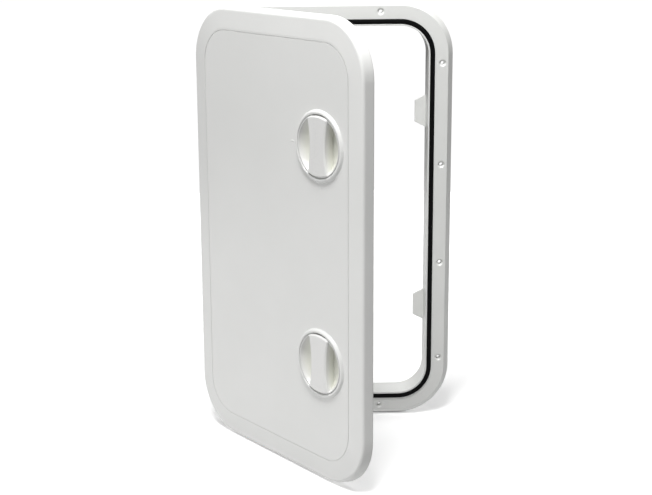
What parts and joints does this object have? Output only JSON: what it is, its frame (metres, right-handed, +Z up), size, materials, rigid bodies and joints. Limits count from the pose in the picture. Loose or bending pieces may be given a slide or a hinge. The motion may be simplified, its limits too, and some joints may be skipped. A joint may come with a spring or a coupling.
{
  "type": "service hatch",
  "caption": "White moulded wall hatch: a frame with a seal and striker tabs, a side-hinged door and twist latches with finger wells.",
  "frame": {"origin": "on the flange's back face, under the seal in the middle of the bottom rail", "axes": "+X to the right seen from outside, +Y into the wall, +Z up; the door stands open on its left-hand hinge"},
  "size_m": [0.3564, 0.3158, 0.606],
  "materials": {
    "frame_plastic": "fine-grained white moulded plastic",
    "seal_rubber": "matte black seal rubber",
    "hinge_steel": "stainless rod",
    "door_plastic": "fine-grained white moulded plastic",
    "knob_plastic": "smooth white moulded plastic",
    "ring_rubber": "black ring seal",
    "washer_plastic": "plain dark plastic",
    "arm_plastic": "white glass-filled plastic",
    "screw_steel": "zinc-plated screw"
  },
  "bodies": {
    "frame": {"frame": "frame_plastic", "gasket": "seal_rubber", "hinge_rod": "hinge_steel"},
    "door": {"door": "door_plastic"},
    "upper_latch": {"upper_knob": "knob_plastic", "upper_shaft_seal": "ring_rubber", "upper_washer": "washer_plastic", "upper_arm": "arm_plastic", "upper_screw": "screw_steel"},
    "lower_latch": {"lower_knob": "knob_plastic", "lower_shaft_seal": "ring_rubber", "lower_washer": "washer_plastic", "lower_arm": "arm_plastic", "lower_screw": "screw_steel"}
  },
  "joints": [
    {"name": "door_hinge", "type": "hinge", "parent": "frame", "child": "door", "pos_m": [-0.1715, -0.0095, 0.274], "axis": [0, 0, -1], "range_deg": [-52, 38]},
    {"name": "upper_latch_turn", "type": "hinge", "parent": "door", "child": "upper_latch", "pos_m": [-0.01777, -0.22657, 0.4158], "axis": [-0.788, -0.6157, 0], "range_deg": [0, 90]},
    {"name": "lower_latch_turn", "type": "hinge", "parent": "door", "child": "lower_latch", "pos_m": [-0.01777, -0.22657, 0.1322], "axis": [-0.788, -0.6157, 0], "range_deg": [0, 90]}
  ]
}
